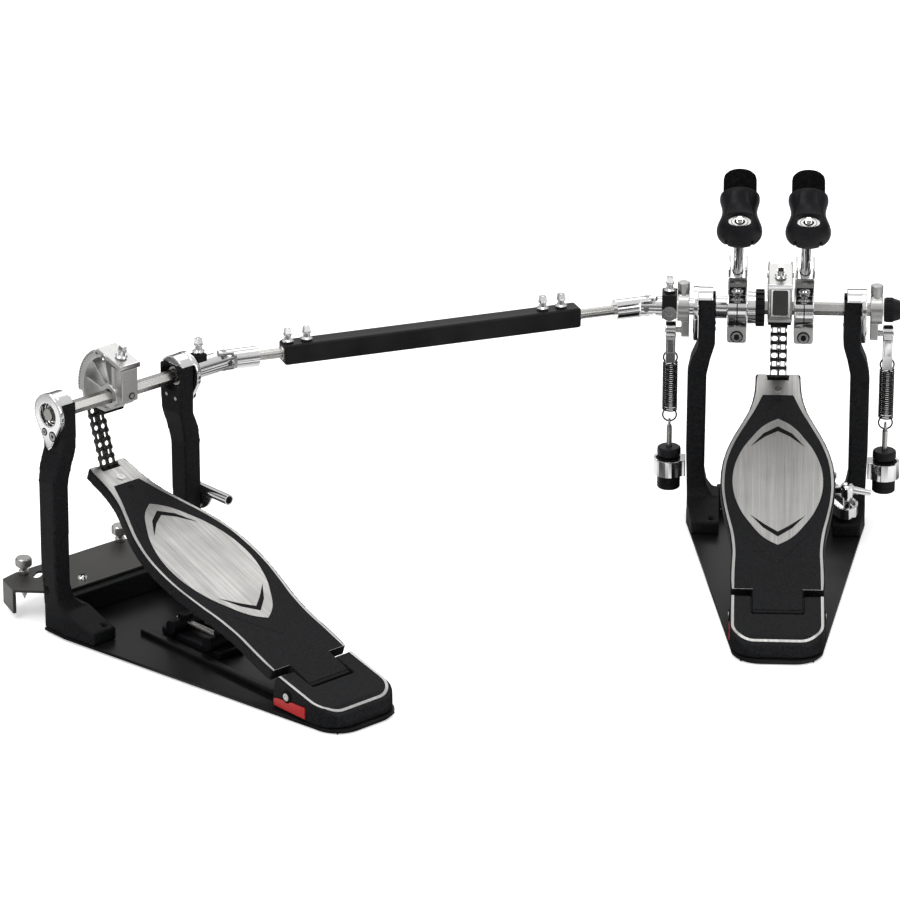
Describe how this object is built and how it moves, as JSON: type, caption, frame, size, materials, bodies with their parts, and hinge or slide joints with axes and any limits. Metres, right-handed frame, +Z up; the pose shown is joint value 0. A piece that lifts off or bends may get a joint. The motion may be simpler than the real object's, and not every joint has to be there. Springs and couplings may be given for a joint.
{
  "type": "twin bass drum pedal",
  "caption": "Twin bass drum pedal: footboards pull chains over cam wheels to swing felt beaters, with a telescopic universal-jointed shaft from the far pedal.",
  "frame": {"origin": "on the floor, under the middle of the master pedal's shaft", "axes": "+X along the master's shaft to the drummer's right, +Y towards the drum, +Z up"},
  "size_m": [0.6773, 0.4581, 0.3124],
  "materials": {
    "satin_black_steel": "satin",
    "black_powder_coat": "fine textured powder coat",
    "chrome_plate": "polished",
    "bright_steel": "ground",
    "cast_aluminium": "satin cast",
    "black_steel_parts": "black oxide",
    "black_plastic": "matte",
    "black_felt": "dense felt"
  },
  "bodies": {
    "master_stand": {"master_base_plate": "satin_black_steel", "master_frame": "black_powder_coat", "master_left_bearing_cap": "chrome_plate", "master_right_bearing_cap": "chrome_plate", "master_left_bearing": "bright_steel", "master_right_bearing": "bright_steel", "master_heel": "black_powder_coat", "master_hinge_pin": "bright_steel", "left_spring_bracket": "chrome_plate", "right_spring_bracket": "chrome_plate", "left_eye_bolt": "bright_steel", "right_eye_bolt": "bright_steel", "hoop_clamp_arm": "chrome_plate"},
    "right_shaft": {"master_hex_shaft": "bright_steel", "master_cam_wheel": "cast_aluminium", "master_cam_clamp": "chrome_plate", "master_chain_on_cam": "black_steel_parts", "right_beater_hub": "chrome_plate", "right_spring_lever": "cast_aluminium", "shaft_end_knob": "black_plastic"},
    "right_beater": {"right_beater_rod": "chrome_plate", "right_beater_head": "black_plastic", "right_beater_felt": "black_felt"},
    "master_board": {"master_footboard": "black_powder_coat"},
    "master_chain": {"master_chain_drop": "black_steel_parts"},
    "right_spring_line": {"right_spring": "black_steel_parts"},
    "right_hanger": {"right_spring_hanger": "chrome_plate"},
    "right_knob": {"right_tension_knob": "black_plastic"},
    "left_sleeve": {"left_drive_sleeve": "bright_steel", "left_beater_hub": "chrome_plate", "left_spring_lever": "cast_aluminium", "master_joint_yoke": "chrome_plate", "master_joint_cross": "bright_steel"},
    "left_beater": {"left_beater_rod": "chrome_plate", "left_beater_head": "black_plastic", "left_beater_felt": "black_felt"},
    "left_spring_line": {"left_spring": "black_steel_parts"},
    "left_hanger": {"left_spring_hanger": "chrome_plate"},
    "left_knob": {"left_tension_knob": "black_plastic"},
    "wing_bolt": {"clamp_wing_bolt": "chrome_plate"},
    "link": {"link_tube": "satin_black_steel", "link_rod_master_end": "bright_steel"},
    "slave_stand": {"slave_base_plate": "satin_black_steel", "slave_frame": "black_powder_coat", "slave_left_bearing_cap": "chrome_plate", "slave_right_bearing_cap": "chrome_plate", "slave_left_bearing": "bright_steel", "slave_right_bearing": "bright_steel", "slave_heel": "black_powder_coat", "slave_hinge_pin": "bright_steel", "slave_stabiliser_plate": "satin_black_steel"},
    "slave_link": {"link_rod_slave_end": "bright_steel"},
    "slave_shaft": {"slave_hex_shaft": "bright_steel", "slave_cam_wheel": "cast_aluminium", "slave_cam_clamp": "chrome_plate", "slave_chain_on_cam": "black_steel_parts", "slave_joint_yoke": "chrome_plate", "slave_joint_cross": "bright_steel"},
    "slave_board": {"slave_footboard": "black_powder_coat"},
    "slave_chain": {"slave_chain_drop": "black_steel_parts"}
  },
  "joints": [
    {"name": "right_stroke", "type": "hinge", "parent": "master_stand", "child": "right_shaft", "pos_m": [0, 0, 0.1753], "axis": [-1, 0, 0], "range_deg": [0, 50], "stiffness_Nm_per_rad": 1.5, "springref_deg": -14.32},
    {"name": "left_stroke", "type": "hinge", "parent": "master_stand", "child": "left_sleeve", "pos_m": [0, 0, 0.1753], "axis": [-1, 0, 0], "range_deg": [0, 50], "stiffness_Nm_per_rad": 1.5, "springref_deg": -14.32},
    {"name": "right_beater_height", "type": "slide", "parent": "right_shaft", "child": "right_beater", "axis": [0, -0.6691, 0.7431], "range_m": [0, 0.012]},
    {"name": "left_beater_height", "type": "slide", "parent": "left_sleeve", "child": "left_beater", "axis": [0, -0.6691, 0.7431], "range_m": [0, 0.012]},
    {"name": "master_board_tilt", "type": "hinge", "parent": "master_stand", "child": "master_board", "pos_m": [0, -0.2313, 0.0154], "axis": [-1, 0, 0], "range_deg": [0, 7.6]},
    {"name": "master_chain_hang", "type": "hinge", "parent": "right_shaft", "child": "master_chain", "pos_m": [0, 0.0355, 0.1753], "axis": [-1, 0, 0], "range_deg": [-70, 0]},
    {"name": "right_spring_swing", "type": "hinge", "parent": "master_stand", "child": "right_spring_line", "pos_m": [0.0838, 0, 0.082], "axis": [1, 0, 0], "range_deg": [0, 11.5]},
    {"name": "right_spring_stretch", "type": "slide", "parent": "right_spring_line", "child": "right_hanger", "axis": [0, 0, 1], "range_m": [0, 0.0072], "deforming": ["right_spring"]},
    {"name": "left_spring_swing", "type": "hinge", "parent": "master_stand", "child": "left_spring_line", "pos_m": [-0.0838, 0, 0.082], "axis": [1, 0, 0], "range_deg": [0, 11.5]},
    {"name": "left_spring_stretch", "type": "slide", "parent": "left_spring_line", "child": "left_hanger", "axis": [0, 0, 1], "range_m": [0, 0.0072], "deforming": ["left_spring"]},
    {"name": "right_tension_turn", "type": "hinge", "parent": "master_stand", "child": "right_knob", "pos_m": [0.0838, 0, 0.055], "axis": [0, 0, 1], "continuous": true},
    {"name": "left_tension_turn", "type": "hinge", "parent": "master_stand", "child": "left_knob", "pos_m": [-0.0838, 0, 0.055], "axis": [0, 0, 1], "continuous": true},
    {"name": "hoop_clamp_turn", "type": "hinge", "parent": "master_stand", "child": "wing_bolt", "pos_m": [0.0545, -0.035, 0.0192], "axis": [0, -0.2588, 0.9659], "continuous": true},
    {"name": "link_spin", "type": "hinge", "parent": "master_stand", "child": "link", "pos_m": [-0.1029, 0, 0.1753], "axis": [-0.922, -0.3871, 0], "range_deg": [0, 53]},
    {"name": "link_length", "type": "slide", "parent": "master_stand", "child": "slave_stand", "axis": [-0.922, -0.3871, 0], "range_m": [-0.015, 0.05]},
    {"name": "slave_link_spin", "type": "hinge", "parent": "slave_stand", "child": "slave_link", "pos_m": [-0.41892, -0.13268, 0.1753], "axis": [-0.922, -0.3871, 0], "range_deg": [0, 53]},
    {"name": "slave_shaft_spin", "type": "hinge", "parent": "slave_stand", "child": "slave_shaft", "pos_m": [-0.491, -0.204, 0.1753], "axis": [-0.7108, -0.7034, 0], "range_deg": [0, 50.5]},
    {"name": "slave_board_tilt", "type": "hinge", "parent": "slave_stand", "child": "slave_board", "pos_m": [-0.32831, -0.36841, 0.0154], "axis": [-0.7108, -0.7034, 0], "range_deg": [0, 7.6]},
    {"name": "slave_chain_hang", "type": "hinge", "parent": "slave_shaft", "child": "slave_chain", "pos_m": [-0.51597, -0.17877, 0.1753], "axis": [-0.7108, -0.7034, 0], "range_deg": [-70, 0]}
  ],
  "couplings": [
    {"joint": "master_board_tilt", "follows": "right_stroke", "ratio": 0.15},
    {"joint": "master_chain_hang", "follows": "right_stroke", "ratio": -1.375},
    {"joint": "right_spring_swing", "follows": "right_stroke", "ratio": 0.22},
    {"joint": "right_spring_stretch", "follows": "right_stroke", "m_per_rad": 0.0078},
    {"joint": "left_spring_swing", "follows": "left_stroke", "ratio": 0.22},
    {"joint": "left_spring_stretch", "follows": "left_stroke", "m_per_rad": 0.0078},
    {"joint": "link_spin", "follows": "left_stroke", "ratio": 1.05},
    {"joint": "slave_link_spin", "follows": "left_stroke", "ratio": 1.05},
    {"joint": "slave_shaft_spin", "follows": "left_stroke", "ratio": 1},
    {"joint": "slave_board_tilt", "follows": "left_stroke", "ratio": 0.15},
    {"joint": "slave_chain_hang", "follows": "left_stroke", "ratio": -1.375}
  ]
}
